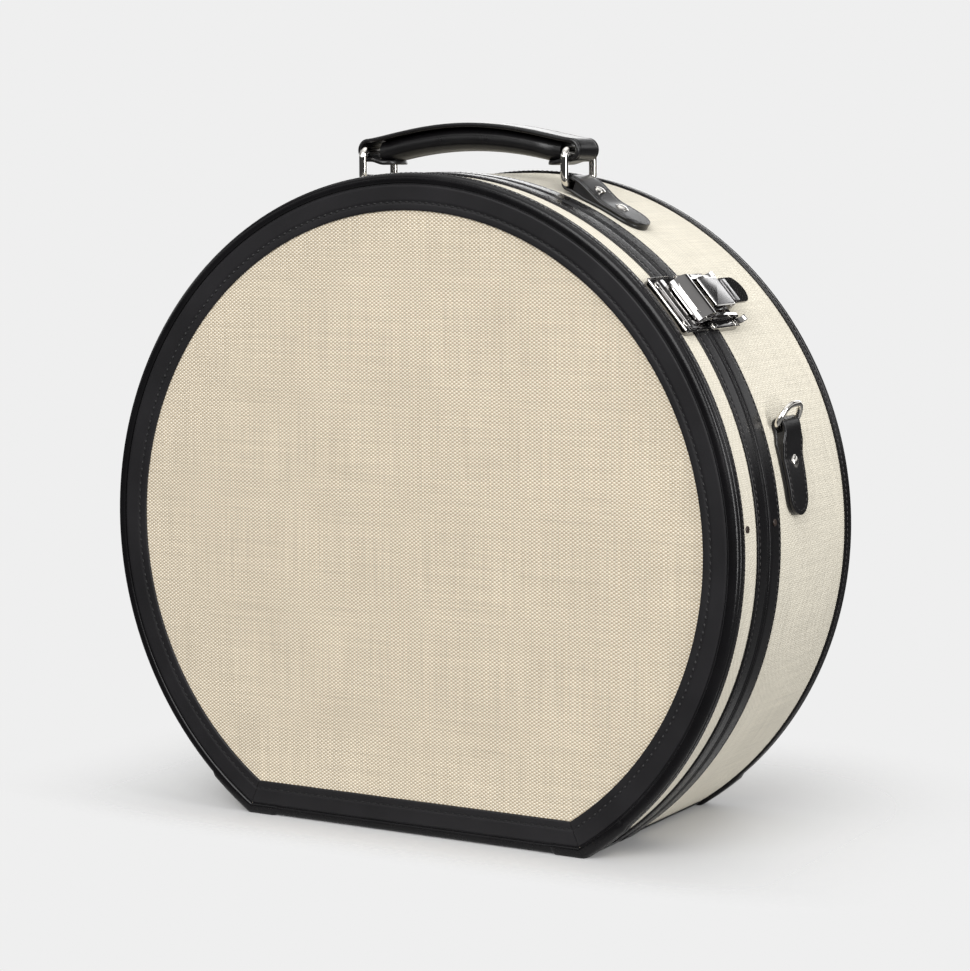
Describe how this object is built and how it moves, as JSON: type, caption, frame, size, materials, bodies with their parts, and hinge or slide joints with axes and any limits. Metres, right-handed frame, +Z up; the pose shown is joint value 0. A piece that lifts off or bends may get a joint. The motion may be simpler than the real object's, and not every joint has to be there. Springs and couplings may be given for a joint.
{
  "type": "hat box",
  "caption": "Round linen-covered hat box with a flat foot, black leather binding, hinged lid, draw latches, a swinging top handle and side rings.",
  "frame": {"origin": "centre of the flat foot, at the surface the box stands on", "axes": "+X to the right of the lid face, +Y from the lid to the back, +Z up"},
  "size_m": [0.41, 0.1564, 0.4008],
  "materials": {
    "linen": "plain-weave linen canvas, matt",
    "linen_front": "plain-weave linen canvas, matt, warmer",
    "leather_black": "smooth finished leather, satin",
    "handle_leather": "smooth finished leather, semi-gloss",
    "board": "raw fibreboard",
    "lining": "plain cotton lining",
    "nickel": "polished nickel plate",
    "dark_nickel": "polished dark nickel plate",
    "hinge_steel": "plated steel",
    "dark_rivet": "dark brown enamel"
  },
  "bodies": {
    "body": {"body_board": "board", "body_lining": "lining", "body_side_linen": "linen", "body_edge_band": "leather_black", "body_foot_leather": "leather_black", "back_rim": "leather_black", "back_panel_linen": "linen", "back_border": "leather_black", "back_corner_patches": "leather_black", "register_lip": "board", "hinge_body_leaf": "hinge_steel", "hinge_pin": "hinge_steel", "handle_chape_right": "leather_black", "handle_chape_left": "leather_black", "chape_rivets": "nickel", "side_tab_right": "leather_black", "side_tab_left": "leather_black", "side_tab_rivets": "nickel", "latch_base_right": "nickel", "latch_base_left": "nickel", "latch_pin_right": "nickel", "latch_pin_left": "nickel", "latch_base_rivets": "nickel", "body_stay_rivets": "dark_rivet"},
    "lid": {"lid_board": "board", "lid_lining": "lining", "lid_side_linen": "linen", "lid_edge_band": "leather_black", "lid_foot_leather": "leather_black", "front_rim": "leather_black", "front_panel_linen": "linen_front", "front_border": "leather_black", "front_corner_patches": "leather_black", "hinge_lid_leaf": "hinge_steel", "latch_keeper_right": "nickel", "latch_keeper_left": "nickel", "latch_keeper_rivets": "nickel", "lid_stay_rivets": "dark_rivet"},
    "ring_right": {"handle_ring_right": "nickel"},
    "ring_left": {"handle_ring_left": "nickel"},
    "handle": {"handle_strap": "handle_leather", "handle_pad": "handle_leather"},
    "dee_right": {"dee_ring_right": "nickel"},
    "dee_left": {"dee_ring_left": "nickel"},
    "lever_right": {"latch_lever_right": "dark_nickel", "latch_link_pin_right": "nickel"},
    "lever_left": {"latch_lever_left": "dark_nickel", "latch_link_pin_left": "nickel"},
    "link_right": {"latch_link_right": "nickel"},
    "link_left": {"latch_link_left": "nickel"}
  },
  "joints": [
    {"name": "lid_hinge", "type": "hinge", "parent": "body", "child": "lid", "pos_m": [0, -0.037, 0.0024], "axis": [1, 0, 0], "range_deg": [0, 100]},
    {"name": "handle_swing", "type": "hinge", "parent": "body", "child": "ring_right", "pos_m": [0.0665, 0, 0.36677], "axis": [0, 1, 0], "range_deg": [-45, 45]},
    {"name": "ring_left_swing", "type": "hinge", "parent": "body", "child": "ring_left", "pos_m": [-0.0665, 0, 0.36677], "axis": [0, 1, 0], "range_deg": [-46, 46]},
    {"name": "handle_level", "type": "hinge", "parent": "ring_right", "child": "handle", "pos_m": [0.0665, 0, 0.38517], "axis": [0, 1, 0], "range_deg": [-46, 46]},
    {"name": "dee_right_swing", "type": "hinge", "parent": "body", "child": "dee_right", "pos_m": [0.19492, 0, 0.23636], "axis": [0, 1, 0], "range_deg": [-42, 90]},
    {"name": "latch_lever_right_turn", "type": "hinge", "parent": "body", "child": "lever_right", "pos_m": [0.15731, -0.0304, 0.30531], "axis": [0.6521, 0, -0.7581], "range_deg": [0, 112]},
    {"name": "latch_link_right_turn", "type": "hinge", "parent": "lever_right", "child": "link_right", "pos_m": [0.15928, -0.0194, 0.30701], "axis": [0.6521, 0, -0.7581], "range_deg": [-124.2, 1]},
    {"name": "dee_left_swing", "type": "hinge", "parent": "body", "child": "dee_left", "pos_m": [-0.19492, 0, 0.23636], "axis": [0, -1, 0], "range_deg": [-42, 90]},
    {"name": "latch_lever_left_turn", "type": "hinge", "parent": "body", "child": "lever_left", "pos_m": [-0.15731, -0.0304, 0.30531], "axis": [0.6521, 0, 0.7581], "range_deg": [0, 112]},
    {"name": "latch_link_left_turn", "type": "hinge", "parent": "lever_left", "child": "link_left", "pos_m": [-0.15928, -0.0194, 0.30701], "axis": [0.6521, 0, 0.7581], "range_deg": [-124.2, 1]}
  ],
  "couplings": [
    {"joint": "ring_left_swing", "follows": "handle_swing", "ratio": 1},
    {"joint": "handle_level", "follows": "handle_swing", "ratio": -1},
    {"joint": "latch_link_right_turn", "follows": "latch_lever_right_turn", "ratio": -1.1},
    {"joint": "latch_link_left_turn", "follows": "latch_lever_left_turn", "ratio": -1.1}
  ]
}
